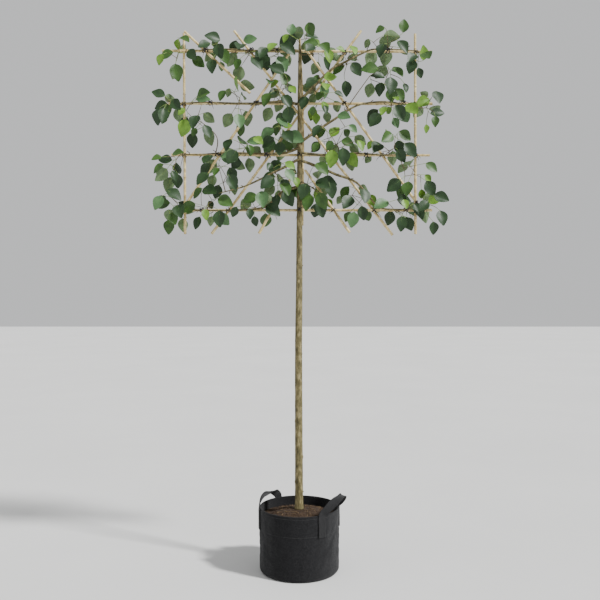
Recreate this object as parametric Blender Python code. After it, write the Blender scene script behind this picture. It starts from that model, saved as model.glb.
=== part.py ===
# Espalier apple tree in a felt bag: a straight stem with a flat head of boughs, tied to a light
# frame of bamboo canes that the tree carries. Metres, +Z up, +X to the right of the head, and the
# head's front towards -Y. The origin is the centre of the bag's underside.

import math
import random

import bmesh
import bpy
from mathutils import Vector
from mathutils.bvhtree import BVHTree

# Clear space between pieces that meet
GAP = 0.0003

# Felt bag, a little fuller than its foot, with a hemmed rim
BAG_RADIUS = 0.178
BAG_HEIGHT = 0.284
BAG_WALL = 0.004
BAG_FOOT_ROUND = 0.016
BAG_SIDES = 40
BAG_FOOT_STEPS = 3
# Share of the bag's height, and how far the wall stands out there
BAG_FULLNESS = ((1.00, -0.0005), (0.80, 0.0), (0.45, 0.0008), (0.20, 0.0))
BAG_MOST = 0.0008

# Compost, heaped a little round the trunk
SOIL_TOP = 0.272
SOIL_EDGE = 0.243
SOIL_FLAT_RADIUS = 0.036
SOIL_RINGS = 3

# Carrying straps of the bag: the angle of each foot from the front, round to the right
STRAP_WIDTH = 0.036
STRAP_THICKNESS = 0.0035
STRAP_SEWN_LENGTH = 0.095
STRAP_STEPS = 8
STRAP_NARROWING = 0.12
STRAP_TWIST_OUT = 1.2
STRAP_TWIST_ALONG = 0.9
STRAPS = {
    "strap_right": dict(feet=(33, 100), rise=0.064, lean=0.048),
    "strap_left": dict(feet=(213, 280), rise=0.044, lean=0.006),
}

# Trunk: height, radius, and how far its centre line wanders to the right and to the back
TRUNK_SIDES = 12
TRUNK_STATIONS = (
    (SOIL_TOP + GAP, 0.0225, -0.0010, 0.0),
    (0.285, 0.0200, -0.0010, 0.0),
    (0.310, 0.0184, -0.0012, 0.0),
    (0.650, 0.0172, -0.0026, 0.0),
    (1.010, 0.0162, -0.0036, 0.0),
    (1.255, 0.0150, -0.0005, -0.0010),
    (1.435, 0.0141, 0.0000, -0.0017),
    (1.616, 0.0131, 0.0012, -0.0008),
    (1.866, 0.0119, 0.0020, 0.0004),
    (2.099, 0.0105, 0.0022, 0.0018),
    (2.260, 0.0085, 0.0030, 0.0038),
    (2.337, 0.0070, 0.0025, 0.0053),
    (2.360, 0.0058, 0.0020, 0.0058),
)

# Cane frame. Each layer is the depth of a cane's centre line behind the trunk's.
CANE_SIDES = 8
CANE_BUTT = 0.0067
CANE_TIP = 0.0059
LAYER_FRONT = 0.0068
LAYER_RAILS = 0.0202
LAYER_POSTS = 0.0339
LAYER_CROSS = 0.0474
LAYER_BACK = 0.0611
CANES = {
    # name: depth, then the (x, z) of its butt, any bend, and its tip
    "cane_rail_1": (LAYER_RAILS, (-0.621, 2.3380), (0.600, 2.3340)),
    "cane_rail_2": (LAYER_RAILS, (0.602, 2.0985), (-0.592, 2.0990)),
    "cane_rail_3": (LAYER_RAILS, (-0.579, 1.8670), (0.590, 1.8650)),
    "cane_rail_4": (LAYER_RAILS, (0.600, 1.6165), (-0.575, 1.6160)),
    "cane_post_left": (LAYER_POSTS, (-0.519, 1.5100), (-0.525, 2.4230)),
    "cane_post_right": (LAYER_POSTS, (0.528, 1.5100), (0.526, 2.4200)),
    "cane_post_middle": (LAYER_BACK, (0.013, 1.5520), (0.016, 2.0200), (0.001, 2.4200)),
    "cane_long_falling": (LAYER_POSTS, (0.424, 1.5050), (-0.297, 2.4340)),
    "cane_long_rising": (LAYER_CROSS, (-0.400, 1.5120), (0.282, 2.4390)),
    "cane_wing_left": (LAYER_FRONT, (-0.528, 1.6170), (-0.030, 2.3435)),
    "cane_wing_right": (LAYER_FRONT, (0.542, 1.6310), (0.032, 2.3360)),
    "cane_short_left": (LAYER_FRONT, (-0.182, 1.5100), (-0.022, 1.7900)),
    "cane_short_right": (LAYER_FRONT, (0.227, 1.5140), (0.026, 1.7960)),
    "cane_corner_left": (LAYER_FRONT, (-0.222, 2.1430), (-0.518, 2.4210)),
}

# Boughs, from the trunk outwards in (x, z). They run in front of the frame.
BOUGH_SIDES = 6
BOUGH_FORWARD = math.radians(42)
BOUGH_FRONT = -0.0006
BOUGHS = {
    # name: radius at the trunk, at the tip, height on the trunk, then points along it
    "bough_left_top": (
        0.0062, 0.0022, 2.330,
        (-0.070, 2.335), (-0.200, 2.330), (-0.340, 2.338), (-0.485, 2.331),
    ),
    "bough_left_upper": (
        0.0070, 0.0022, 2.089,
        (-0.083, 2.100), (-0.200, 2.093), (-0.304, 2.094), (-0.430, 2.099), (-0.548, 2.094),
    ),
    "bough_left_middle": (
        0.0062, 0.0021, 1.888,
        (-0.074, 1.869), (-0.218, 1.868), (-0.310, 1.873), (-0.420, 1.866), (-0.525, 1.864),
    ),
    "bough_left_slant": (
        0.0066, 0.0020, 1.836,
        (-0.058, 1.811), (-0.124, 1.779), (-0.241, 1.723), (-0.362, 1.690),
    ),
    "bough_left_bottom": (
        0.0066, 0.0022, 1.716,
        (-0.079, 1.694), (-0.125, 1.650), (-0.175, 1.622), (-0.330, 1.613), (-0.532, 1.617),
    ),
    "bough_right_top": (
        0.0068, 0.0022, 2.118,
        (0.075, 2.178), (0.145, 2.247), (0.205, 2.279), (0.290, 2.322), (0.353, 2.338),
        (0.522, 2.331),
    ),
    "bough_right_upper": (
        0.0068, 0.0022, 1.925,
        (0.092, 1.979), (0.164, 2.026), (0.255, 2.082), (0.350, 2.100), (0.430, 2.097),
        (0.545, 2.075),
    ),
    "bough_right_middle": (
        0.0062, 0.0021, 1.869,
        (0.105, 1.862), (0.250, 1.869), (0.380, 1.862), (0.500, 1.864),
    ),
    "bough_right_slant": (
        0.0072, 0.0022, 1.832,
        (0.100, 1.802), (0.169, 1.772), (0.259, 1.736), (0.329, 1.655), (0.385, 1.620),
        (0.545, 1.618),
    ),
}

# Foliage. Leaves are ovate, folded along the midrib, and hang from thin stalks.
LEAF_LENGTH = (0.060, 0.082)
LEAF_YOUNG_LENGTH = (0.040, 0.056)
LEAF_YOUNG_SHARE = 0.22
LEAF_ASPECT = 0.74
LEAF_THICKNESS = 0.0016
LEAF_FOLD = 0.10
LEAF_SWAY = 0.45
LEAF_WIDEST = 0.40
LEAF_SHOULDER = 0.74
LEAF_SHOULDER_SHARE = 0.72
TIP_LEAF_LENGTH = (0.060, 0.070)
STUB = 0.003
STEM_RADIUS = 0.0024
TWIG_RADIUS = 0.0017
STALK_RADIUS = 0.0011
TWIG_CROOK = 0.006
NODE_SPACING = 0.04
STEM_FORWARD = -0.012
ROOT_SHARE = 0.45
STALK_LEAST = 0.012
STALK_MOST = 0.150
STALK_BENDS = 0.060
STALK_TURN = math.cos(math.radians(110))
CLEARANCE = 0.0008
MASS_DEPTH = (-0.085, 0.095)
TRIES = 90
GOOD_TRIES = 9
MASSES = {
    # name: carrier, centre (x, z), half width, half height, leaves, seed
    "leaves_left_top_tip": ("bough_left_top", (-0.540, 2.300), 0.085, 0.072, 8, 11),
    "leaves_left_top_outer": ("bough_left_top", (-0.369, 2.322), 0.062, 0.085, 7, 12),
    "leaves_left_top_inner": ("bough_left_top", (-0.241, 2.305), 0.078, 0.095, 8, 13),
    "leaves_left_top_stem": ("bough_left_top", (-0.095, 2.300), 0.068, 0.056, 6, 14),
    "leaves_crown_top": ("trunk", (0.002, 2.395), 0.098, 0.046, 8, 15),
    "leaves_left_upper_tip": ("bough_left_upper", (-0.596, 2.088), 0.056, 0.076, 8, 16),
    "leaves_left_upper_outer": ("bough_left_middle", (-0.455, 2.030), 0.078, 0.105, 10, 17),
    "leaves_left_upper_inner": ("bough_left_upper", (-0.272, 2.098), 0.084, 0.100, 8, 18),
    "leaves_left_upper_stem": ("bough_left_upper", (-0.083, 2.110), 0.072, 0.125, 11, 19),
    "leaves_left_middle_tip": ("bough_left_middle", (-0.578, 1.806), 0.064, 0.078, 9, 20),
    "leaves_left_middle_outer": ("bough_left_slant", (-0.353, 1.780), 0.090, 0.085, 10, 21),
    "leaves_left_middle_inner": ("bough_left_middle", (-0.250, 1.880), 0.085, 0.070, 6, 22),
    "leaves_left_middle_stem": ("bough_left_middle", (-0.083, 1.925), 0.070, 0.070, 8, 23),
    "leaves_left_lower_stem": ("bough_left_slant", (-0.085, 1.735), 0.075, 0.095, 11, 24),
    "leaves_left_bottom_tip": ("bough_left_bottom", (-0.580, 1.612), 0.064, 0.090, 9, 25),
    "leaves_left_bottom_outer": ("bough_left_bottom", (-0.412, 1.622), 0.095, 0.080, 10, 26),
    "leaves_left_bottom_inner": ("bough_left_bottom", (-0.200, 1.622), 0.095, 0.060, 8, 27),
    "leaves_right_top_stem": ("trunk", (0.095, 2.315), 0.070, 0.056, 5, 28),
    "leaves_right_top_inner": ("bough_right_top", (0.214, 2.265), 0.066, 0.085, 6, 29),
    "leaves_right_top_outer": ("bough_right_top", (0.398, 2.378), 0.105, 0.066, 9, 30),
    "leaves_right_top_tip": ("bough_right_top", (0.545, 2.290), 0.054, 0.056, 5, 31),
    "leaves_right_upper_stem": ("bough_right_top", (0.095, 2.125), 0.085, 0.100, 11, 32),
    "leaves_right_upper_riser": ("bough_right_upper", (0.394, 2.190), 0.105, 0.080, 10, 33),
    "leaves_right_upper_outer": ("bough_right_upper", (0.412, 2.062), 0.100, 0.058, 8, 34),
    "leaves_right_upper_tip": ("bough_right_upper", (0.598, 2.074), 0.060, 0.085, 7, 35),
    "leaves_right_middle_outer": ("bough_right_middle", (0.403, 1.890), 0.095, 0.085, 9, 36),
    "leaves_right_middle_inner": ("bough_right_middle", (0.175, 1.915), 0.110, 0.105, 12, 37),
    "leaves_right_middle_tip": ("bough_right_middle", (0.505, 1.745), 0.100, 0.085, 8, 38),
    "leaves_right_lower_stem": ("trunk", (0.079, 1.710), 0.070, 0.105, 10, 39),
    "leaves_right_lower_inner": ("bough_right_slant", (0.265, 1.650), 0.088, 0.092, 9, 40),
    "leaves_right_bottom_outer": ("bough_right_slant", (0.435, 1.600), 0.105, 0.066, 9, 41),
    "leaves_right_bottom_tip": ("bough_right_slant", (0.592, 1.612), 0.050, 0.092, 6, 42),
}
# Longer stems that lead a mass away from its carrier: root height or (x, z) on it, then the way
STEMS = {
    "leaves_left_upper_outer": ((-0.374, 1.868), (-0.366, 1.922), (-0.384, 1.962), (-0.440, 2.008)),
    "leaves_right_upper_riser": ((0.200, 2.050), (0.259, 2.136), (0.317, 2.216)),
    "leaves_right_middle_tip": ((0.440, 1.862), (0.470, 1.800)),
    "leaves_right_lower_stem": ((0.010, 1.738), (0.060, 1.712), (0.100, 1.672)),
}
# Leaves that mark the head's outermost points: tip (x, z) and the way the leaf points, in degrees
TIP_LEAVES = {
    "leaves_crown_top": ((-0.030, 2.448, 80),),
    "leaves_right_top_outer": ((0.468, 2.462, 84),),
    "leaves_left_upper_tip": ((-0.658, 2.140, 160), (-0.656, 2.078, 195)),
    "leaves_right_upper_tip": ((0.662, 2.062, 5),),
    "leaves_left_top_tip": ((-0.628, 2.300, 200),),
    "leaves_left_middle_tip": ((-0.643, 1.850, 175),),
    "leaves_left_bottom_tip": ((-0.645, 1.632, 190), (-0.598, 1.508, 262)),
    "leaves_right_bottom_tip": ((0.607, 1.503, 275), (0.640, 1.680, 30)),
}


def clear_scene():
    for obj in list(bpy.data.objects):
        bpy.data.objects.remove(obj, do_unlink=True)


def principled(name, colour, roughness):
    material = bpy.data.materials.new(name)
    material.use_nodes = True
    shader = material.node_tree.nodes["Principled BSDF"]
    shader.inputs["Base Color"].default_value = (*colour, 1)
    shader.inputs["Roughness"].default_value = roughness
    shader.inputs["Metallic"].default_value = 0
    return material


def make_object(name, vertices, faces, material, sharp_angle=None):
    mesh = bpy.data.meshes.new(name)
    mesh.from_pydata([tuple(v) for v in vertices], [], faces)
    mesh.materials.append(material)
    if sharp_angle is not None:
        mesh.shade_smooth()
        mesh.set_sharp_from_angle(angle=math.radians(sharp_angle))
    obj = bpy.data.objects.new(name, mesh)
    bpy.context.scene.collection.objects.link(obj)
    return obj


def lathe(profile, sides):
    """Closed mesh from a profile of (radius, z) that starts and ends on the axis, outer side downwards."""
    vertices = [Vector((0, 0, profile[0][1]))]
    for radius, z in profile[1:-1]:
        for i in range(sides):
            turn = math.tau * i / sides
            vertices.append(Vector((radius * math.cos(turn), radius * math.sin(turn), z)))
    vertices.append(Vector((0, 0, profile[-1][1])))
    faces = []
    last = len(vertices) - 1
    rings = len(profile) - 2
    for i in range(sides):
        j = (i + 1) % sides
        faces.append((0, 1 + i, 1 + j))
        for ring in range(rings - 1):
            a = 1 + ring * sides
            b = a + sides
            faces.append((a + i, b + i, b + j, a + j))
        a = 1 + (rings - 1) * sides
        faces.append((last, a + j, a + i))
    return vertices, faces


def smooth_path(points, steps):
    """Catmull-Rom curve through the points."""
    ends = [points[0] * 2 - points[1]] + points + [points[-1] * 2 - points[-2]]
    path = []
    for k in range(len(points) - 1):
        p0, p1, p2, p3 = ends[k:k + 4]
        for i in range(steps):
            t = i / steps
            path.append(0.5 * (2 * p1 + (p2 - p0) * t + (2 * p0 - 5 * p1 + 4 * p2 - p3) * t * t
                               + (3 * p1 - p0 - 3 * p2 + p3) * t ** 3))
    path.append(points[-1].copy())
    return path


def tube(path, radii, sides, start_direction=None):
    """Closed tapering tube along a path, with flat ends."""
    vertices = []
    side = Vector((0, -1, 0))
    for k, point in enumerate(path):
        along = path[min(k + 1, len(path) - 1)] - path[max(k - 1, 0)]
        if k == 0 and start_direction:
            along = start_direction.copy()
        along.normalize()
        side = (side - along * side.dot(along)).normalized()
        across = along.cross(side)
        for i in range(sides):
            turn = math.tau * i / sides
            vertices.append(point + (side * math.cos(turn) + across * math.sin(turn)) * radii[k])
    faces = [tuple(reversed(range(sides)))]
    for k in range(len(path) - 1):
        a = k * sides
        b = a + sides
        for i in range(sides):
            j = (i + 1) % sides
            faces.append((a + i, a + j, b + j, b + i))
    faces.append(tuple(range(len(vertices) - sides, len(vertices))))
    return vertices, faces


def taper(path, thick, thin):
    """A radius for each point of a path, falling evenly along its length."""
    walked = [0.0]
    for a, b in zip(path, path[1:]):
        walked.append(walked[-1] + (b - a).length)
    return [thick + (thin - thick) * w / walked[-1] for w in walked]


def trunk_at(z):
    """Centre and radius of the trunk at a height."""
    for low, high in zip(TRUNK_STATIONS, TRUNK_STATIONS[1:]):
        if z <= high[0]:
            break
    t = min(max((z - low[0]) / (high[0] - low[0]), 0), 1)
    radius, x, y = (a + (b - a) * t for a, b in zip(low[1:], high[1:]))
    return Vector((x, y, z)), radius


def make_bag(material):
    foot = BAG_FOOT_ROUND
    inner_radius = BAG_RADIUS - BAG_WALL
    profile = [(0, BAG_WALL), (inner_radius - foot, BAG_WALL), (inner_radius, BAG_WALL + foot),
               (inner_radius, BAG_HEIGHT)]
    profile += [(BAG_RADIUS + out, BAG_HEIGHT * share) for share, out in BAG_FULLNESS]
    for i in range(BAG_FOOT_STEPS + 1):
        turn = math.radians(90 * i / BAG_FOOT_STEPS)
        profile.append((BAG_RADIUS - foot * (1 - math.cos(turn)), foot * (1 - math.sin(turn))))
    profile.append((0, 0))
    vertices, faces = lathe(profile, BAG_SIDES)
    return make_object("bag", vertices, faces, material, 35)


def make_soil(material):
    radius = BAG_RADIUS - BAG_WALL - GAP * 2
    foot = BAG_FOOT_ROUND
    profile = [(0, SOIL_TOP), (SOIL_FLAT_RADIUS, SOIL_TOP)]
    for i in range(1, SOIL_RINGS + 1):
        t = i / SOIL_RINGS
        fall = (1 - math.cos(math.pi * t)) / 2
        profile.append((SOIL_FLAT_RADIUS + (radius - SOIL_FLAT_RADIUS) * t,
                        SOIL_TOP + (SOIL_EDGE - SOIL_TOP) * fall))
    profile += [(radius, BAG_WALL + foot + GAP), (radius - foot, BAG_WALL + GAP), (0, BAG_WALL + GAP)]
    vertices, faces = lathe(profile, BAG_SIDES)
    return make_object("soil", vertices, faces, material, 35)


def round_bag(angle, radius, z):
    """Point at an angle from the front of the bag, round to the right."""
    turn = math.radians(angle)
    return Vector((radius * math.sin(turn), -radius * math.cos(turn), z))


def make_strap(name, feet, rise, lean, material):
    """Flat band sewn to the wall at both feet, which twists to lie flat across the top of its loop."""
    out = BAG_RADIUS + BAG_MOST + GAP + STRAP_THICKNESS / 2
    low = BAG_HEIGHT - STRAP_SEWN_LENGTH
    middle_angle = sum(feet) / 2
    legs = []
    for angle in feet:
        foot = [round_bag(angle, out, low), round_bag(angle, out, (low + BAG_HEIGHT) / 2),
                round_bag(angle, out, BAG_HEIGHT)]
        legs.append([(p, round_bag(angle, 1, 0)) for p in foot])
    half = legs[1][-1][0] - legs[0][-1][0]
    centre = (legs[0][-1][0] + legs[1][-1][0]) / 2
    outward = round_bag(middle_angle, 1, 0)
    arch = []
    for i in range(1, STRAP_STEPS):
        turn = math.pi * i / STRAP_STEPS
        lift = math.sin(turn)
        point = centre - half / 2 * math.cos(turn) * (1 - STRAP_NARROWING * lift)
        point += Vector((0, 0, rise * lift)) + outward * lean * lift
        flat = outward * (1 - lift ** 2) * STRAP_TWIST_OUT + Vector((0, 0, 1)) * lift ** 2
        flat += half.normalized() * -math.cos(turn) * STRAP_TWIST_ALONG
        arch.append((point, flat.normalized()))
    route = legs[0] + arch + legs[1][::-1]
    vertices = []
    for k, (point, flat) in enumerate(route):
        along = (route[min(k + 1, len(route) - 1)][0] - route[max(k - 1, 0)][0]).normalized()
        flat = (flat - along * flat.dot(along)).normalized()
        across = along.cross(flat)
        for s, t in ((-1, -1), (1, -1), (1, 1), (-1, 1)):
            vertices.append(point + across * s * STRAP_WIDTH / 2 + flat * t * STRAP_THICKNESS / 2)
    faces = [(0, 1, 2, 3)]
    for k in range(len(route) - 1):
        for i in range(4):
            j = (i + 1) % 4
            faces.append((k * 4 + j, k * 4 + i, k * 4 + 4 + i, k * 4 + 4 + j))
    last = len(vertices)
    faces.append((last - 1, last - 2, last - 3, last - 4))
    return make_object(name, vertices, faces, material)


def make_trunk(material):
    path = [trunk_at(station[0])[0] for station in TRUNK_STATIONS]
    radii = [station[1] for station in TRUNK_STATIONS]
    vertices, faces = tube(path, radii, TRUNK_SIDES)
    return make_object("trunk", vertices, faces, material, 40)


def make_cane(name, depth, points, material):
    path = [Vector((x, depth, z)) for x, z in points]
    if len(path) > 2:
        path = smooth_path(path, 3)
    vertices, faces = tube(path, taper(path, CANE_BUTT, CANE_TIP), CANE_SIDES)
    return make_object(name, vertices, faces, material, 50)


def bough_path(thick, thin, height, points):
    """Centre line and radii of a bough, from the trunk's front shoulder to its tip."""
    hub, hub_radius = trunk_at(height)
    sign = math.copysign(1, points[0][0])
    away = Vector((sign * math.cos(BOUGH_FORWARD), -math.sin(BOUGH_FORWARD), 0))
    start = hub + away * (hub_radius + GAP)
    route = [start, start + away * thick * 1.1]
    for k, (x, z) in enumerate(points):
        t = (k + 1) / len(points)
        route.append(Vector((x, BOUGH_FRONT - (thick + (thin - thick) * t), z)))
    path = smooth_path(route, 2)
    return path, taper(path, thick, thin), away


def make_bough(name, thick, thin, height, points, material):
    path, radii, away = bough_path(thick, thin, height, points)
    vertices, faces = tube(path, radii, BOUGH_SIDES, away)
    return make_object(name, vertices, faces, material, 50)


def across_of(along, facing):
    """Unit vectors along a leaf, across it and out of its upper side."""
    along = along.normalized()
    facing = (facing - along * facing.dot(along)).normalized()
    return along, along.cross(facing), facing


def stalk_frames(bends, along, across, facing):
    """Right and up at each bend of a stalk, carried back from its leaf so that the stalk doesn't twist."""
    ways = [(b - a).normalized() for a, b in zip(bends, bends[1:])] + [along]
    mitres = [ways[0]] + [(a + b).normalized() for a, b in zip(ways, ways[1:])]
    frames = []
    seen, right, up = along, across, facing
    for mitre in reversed(mitres):
        turn = seen.rotation_difference(mitre)
        seen, right, up = mitre, turn @ right, turn @ up
        frames.insert(0, (right, up))
    return frames


def leaf_shape(bends, radii, along, facing, length, swell=0.0):
    """One closed shape: a three-sided stalk through its bends, which opens into an ovate leaf folded
    along its midrib. Swell grows it for a clearance test."""
    along, across, facing = across_of(along, facing)
    vertices = []
    for point, radius, (right, up) in zip(bends, radii, stalk_frames(bends, along, across, facing)):
        for turn in (90, 210, 330):
            turn = math.radians(turn)
            vertices.append(point + (right * math.cos(turn) - up * math.sin(turn)) * (radius + swell))
    faces = [(2, 1, 0)]
    last = len(vertices) - 3
    for a in range(0, last, 3):
        for i in range(3):
            j = (i + 1) % 3
            faces.append((a + i, a + j, a + 3 + j, a + 3 + i))
    width = length * LEAF_ASPECT / 2 + swell
    fold = length * LEAF_FOLD
    half = LEAF_THICKNESS / 2 + swell
    shoulder = width * LEAF_SHOULDER_SHARE
    middle = LEAF_WIDEST + 0.05
    blade = [(width, LEAF_WIDEST, fold), (shoulder, LEAF_SHOULDER, fold * 0.6),
             (0, 1 + swell / length, -fold * 0.5),
             (-shoulder, LEAF_SHOULDER, fold * 0.6), (-width, LEAF_WIDEST, fold),
             (0, middle, half), (0, middle, -half)]
    for side, reach, lift in blade:
        vertices.append(bends[-1] + across * side + along * reach * length + facing * lift)
    under, left, right = last, last + 1, last + 2
    wide_right, far_right, tip, far_left, wide_left, top, bottom = range(last + 3, last + 10)
    edge = [right, wide_right, far_right, tip, far_left, wide_left, left]
    for a, b in zip(edge, edge[1:] + edge[:1]):
        faces.append((top, a, b))
    for a, b in zip(edge[1:5], edge[2:6]):
        faces.append((bottom, b, a))
    faces += [(bottom, wide_right, under), (bottom, under, wide_left), (right, under, wide_right),
              (left, wide_left, under)]
    return vertices, faces


def tree_of(shapes):
    """Search tree over the faces of several shapes."""
    vertices = []
    faces = []
    for shape_vertices, shape_faces in shapes:
        start = len(vertices)
        vertices += shape_vertices
        faces += [tuple(i + start for i in face) for face in shape_faces]
    return BVHTree.FromPolygons(vertices, faces) if faces else None


def touches(shape, trees):
    own = tree_of([shape])
    return any(tree and own.overlap(tree) for tree in trees)


def carrier_line(carrier):
    """Centre line of the limb that carries a mass, as (point, radius)."""
    if carrier == "trunk":
        return [trunk_at(station[0]) for station in TRUNK_STATIONS]
    path, radii, _ = bough_path(*BOUGHS[carrier][:3], BOUGHS[carrier][3:])
    return list(zip(path, radii))


def stem_root(carrier, near):
    """Where a mass's stem leaves its limb: a start just clear of the surface, and a direction."""
    line = carrier_line(carrier)
    best = None
    for (a, ra), (b, rb) in zip(line, line[1:]):
        step = b - a
        t = min(max((near - a).dot(step) / step.length_squared, 0), 1)
        point = a + step * t
        if best is None or (near - point).length < best[0]:
            best = ((near - point).length, point, ra + (rb - ra) * t, step.normalized())
    _, point, radius, step = best
    tip, tip_radius = line[-1]
    if (point - tip).length < 0.002:
        return tip + step * GAP * 2, step, min(tip_radius, STEM_RADIUS)
    away = near - point
    away -= step * away.dot(step)
    away.normalize()
    return point + away * (radius + GAP * 2), away, STEM_RADIUS


def leaf_candidate(rng, spec, heart):
    """One possible leaf: base, direction, upper side and length."""
    _, (x, z), half_width, half_height, _, _ = spec
    turn = rng.uniform(0, math.tau)
    reach = math.sqrt(rng.random())
    young = rng.random() < LEAF_YOUNG_SHARE
    length = rng.uniform(*(LEAF_YOUNG_LENGTH if young else LEAF_LENGTH))
    centre = Vector((x + reach * math.cos(turn) * half_width, rng.uniform(*MASS_DEPTH),
                     z + reach * math.sin(turn) * half_height))
    outward = centre - heart
    outward.y *= 0.4
    outward.normalize()
    sway = Vector((rng.uniform(-1, 1), rng.uniform(-0.6, 0.6), rng.uniform(-1, 1))) * LEAF_SWAY
    along = (outward * 0.75 + Vector((0, 0, -0.8)) + sway).normalized()
    side = -1 if centre.y < 0.03 or rng.random() < 0.35 else 1
    facing = Vector((rng.uniform(-0.5, 0.5), side, rng.uniform(0.0, 0.8)))
    return centre - along * length / 2, along, facing, length


def tip_leaf(rng, tip_x, tip_z, degrees):
    """A leaf with its tip at a named outermost point of the head."""
    turn = math.radians(degrees)
    along = Vector((math.cos(turn), rng.uniform(-0.15, 0.15), math.sin(turn))).normalized()
    length = rng.uniform(*TIP_LEAF_LENGTH)
    tip = Vector((tip_x, rng.uniform(-0.05, 0.02), tip_z))
    return tip - along * length, along, Vector((0.1, -1, 0.4)), length


def find_stalk(rng, nodes, base, along, blocked):
    """Bends and radii of a stalk to a leaf's base from the nearest of the mass's nodes that it can reach."""
    for start, thick in sorted(nodes, key=lambda node: (node[0] - base).length)[:5]:
        reach = (base - start).length
        if not STALK_LEAST < reach < STALK_MOST:
            continue
        bends = [start, base]
        radii = [thick * ROOT_SHARE, STALK_RADIUS]
        if reach > STALK_BENDS:
            crook = Vector((rng.uniform(-1, 1), rng.uniform(-1, 1), rng.uniform(-1, 1))) * TWIG_CROOK
            bends.insert(1, start.lerp(base, 0.6) - along * 0.006 + crook)
            radii.insert(1, (TWIG_RADIUS + STALK_RADIUS) / 2)
        if (bends[-1] - bends[-2]).normalized().dot(along) < STALK_TURN:
            continue
        if not touches(tube(bends, [r + CLEARANCE for r in radii], 3), blocked):
            return bends, radii
    return None


def grow_stem(name, carrier, heart):
    """Stem of a mass, from just clear of its limb, with the nodes that stalks may leave it from."""
    way = [Vector((a, STEM_FORWARD, b)) for a, b in STEMS.get(name, ())]
    start, away, thick = stem_root(carrier, way[0] if way else heart)
    first = start + away * 0.010
    path = [start, first] + (way[1:] or [first + (heart - first) * 0.4 + Vector((0, STEM_FORWARD / 2, 0))])
    radii = taper(path, thick, TWIG_RADIUS)
    points = list(zip(path, radii))
    end = path[-1] - (path[-1] - path[-2]).normalized() * radii[-1]
    nodes = points[1:-1] + [(end, radii[-1])]
    for (a, ra), (b, rb) in zip(points[1:], points[2:]):
        if (b - a).length > NODE_SPACING:
            nodes.append(((a + b) / 2, (ra + rb) / 2))
    return tube(path, radii, 3, away), nodes


def grow_mass(name, spec, limbs, others):
    """The shapes of one mass: its stem, then leaves whose stalks branch from it by a seeded rule."""
    carrier, (x, z), _, _, count, seed = spec
    rng = random.Random(seed)
    heart = Vector((x, 0, z))
    stem, nodes = grow_stem(name, carrier, heart)
    shapes = [stem]
    blades = []
    tips = [tip_leaf(rng, *tip) for tip in TIP_LEAVES.get(name, ())]
    for k in range(count):
        fixed = tips[k] if k < len(tips) else None
        free = [limbs, others, tree_of(blades)]
        around = free + [tree_of(shapes)]
        found = []
        for attempt in range(TRIES):
            base, along, facing, length = fixed or leaf_candidate(rng, spec, heart)
            if fixed:
                base = base + Vector((0, rng.uniform(-0.04, 0.04), 0))
            stub = [base - along * STUB, base]
            swollen = leaf_shape(stub, [STALK_RADIUS] * 2, along, facing, length, CLEARANCE)
            if touches(swollen, around):
                continue
            stalk = find_stalk(rng, nodes, base, along, free)
            if not stalk:
                continue
            middle = base + along * length / 2
            room = min(((middle - seen[0][-1]).length for seen in blades), default=1)
            found.append((room, stalk, (along, facing, length), stub))
            if fixed or len(found) == GOOD_TRIES:
                break
        if not found:
            continue
        _, (bends, radii), leaf, stub = max(found, key=lambda option: option[0])
        shapes.append(leaf_shape(bends, radii, *leaf))
        blades.append(leaf_shape(stub, [STALK_RADIUS] * 2, *leaf))
        if (bends[-1] - bends[0]).length > STALK_BENDS / 2:
            nodes.append((bends[-2].lerp(bends[-1], 0.5), radii[-1]))
        nodes += list(zip(bends[1:-1], radii[1:-1]))
    return shapes


def union_of(stem, operands, solver):
    """Mesh of a stem joined with every object of a collection."""
    union = stem.modifiers.new("fuse", "BOOLEAN")
    union.operation = "UNION"
    union.operand_type = "COLLECTION"
    union.collection = operands
    union.solver = solver
    graph = bpy.context.evaluated_depsgraph_get()
    mesh = bpy.data.meshes.new_from_object(stem.evaluated_get(graph), depsgraph=graph)
    stem.modifiers.clear()
    return mesh


def is_one_body(mesh):
    """Whether a mesh is closed, and each face can be reached from any other across edges."""
    shape = bmesh.new()
    shape.from_mesh(mesh)
    closed = all(len(edge.link_faces) == 2 for edge in shape.edges)
    seen = {shape.faces[:][0]}
    front = list(seen)
    while front:
        for edge in front.pop().edges:
            fresh = set(edge.link_faces) - seen
            seen |= fresh
            front += fresh
    whole = len(seen) == len(shape.faces)
    shape.free()
    return closed and whole


def fuse(name, shapes, material):
    """One closed solid from overlapping shapes, by a Boolean union on their collection."""
    stem = make_object(name, *shapes[0], material)
    operands = bpy.data.collections.new(name + "_operands")
    bpy.context.scene.collection.children.link(operands)
    for k, (vertices, faces) in enumerate(shapes[1:]):
        piece = make_object(f"{name}_operand_{k}", vertices, faces, material)
        bpy.context.scene.collection.objects.unlink(piece)
        operands.objects.link(piece)
    fused = union_of(stem, operands, "EXACT")
    if not is_one_body(fused):
        fused = union_of(stem, operands, "MANIFOLD")
    stem.data = fused
    for piece in list(operands.objects):
        bpy.data.objects.remove(piece, do_unlink=True)
    bpy.data.collections.remove(operands)
    return stem


def shape_of(obj):
    mesh = obj.data
    return [v.co.copy() for v in mesh.vertices], [tuple(p.vertices) for p in mesh.polygons]


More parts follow.
